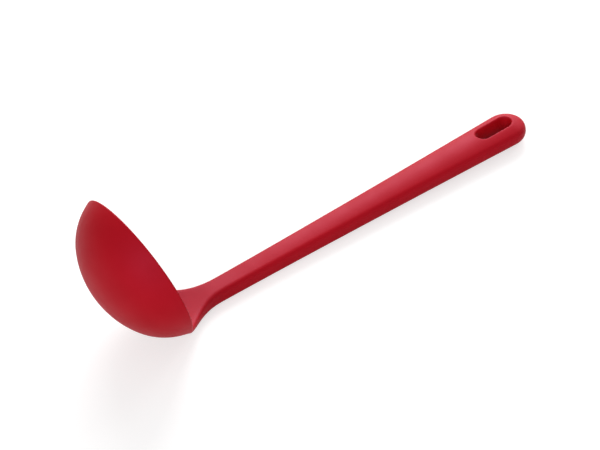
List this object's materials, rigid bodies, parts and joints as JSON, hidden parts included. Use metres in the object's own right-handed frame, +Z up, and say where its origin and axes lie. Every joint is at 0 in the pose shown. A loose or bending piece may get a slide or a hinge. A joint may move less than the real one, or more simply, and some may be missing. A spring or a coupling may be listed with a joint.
{
  "type": "soup ladle",
  "caption": "One-piece soup ladle in satin red silicone over a stiff nylon core: round bowl, fan-shaped neck, tapered handle with a hanging slot.",
  "frame": {"origin": "middle of the bounding box in plan, at its bottom, where the ladle's back rests when it is laid down", "axes": "+X along the handle from the bowl to the hanging slot, +Z up out of the handle's front face, Y across the bowl"},
  "size_m": [0.2928, 0.09, 0.0916],
  "materials": {
    "red_silicone": "satin red silicone, smooth, slightly soft sheen",
    "core_nylon": "black glass-filled nylon, matt, as moulded"
  },
  "bodies": {
    "root": {"silicone_skin": "red_silicone", "nylon_core": "core_nylon"}
  },
  "joints": []
}
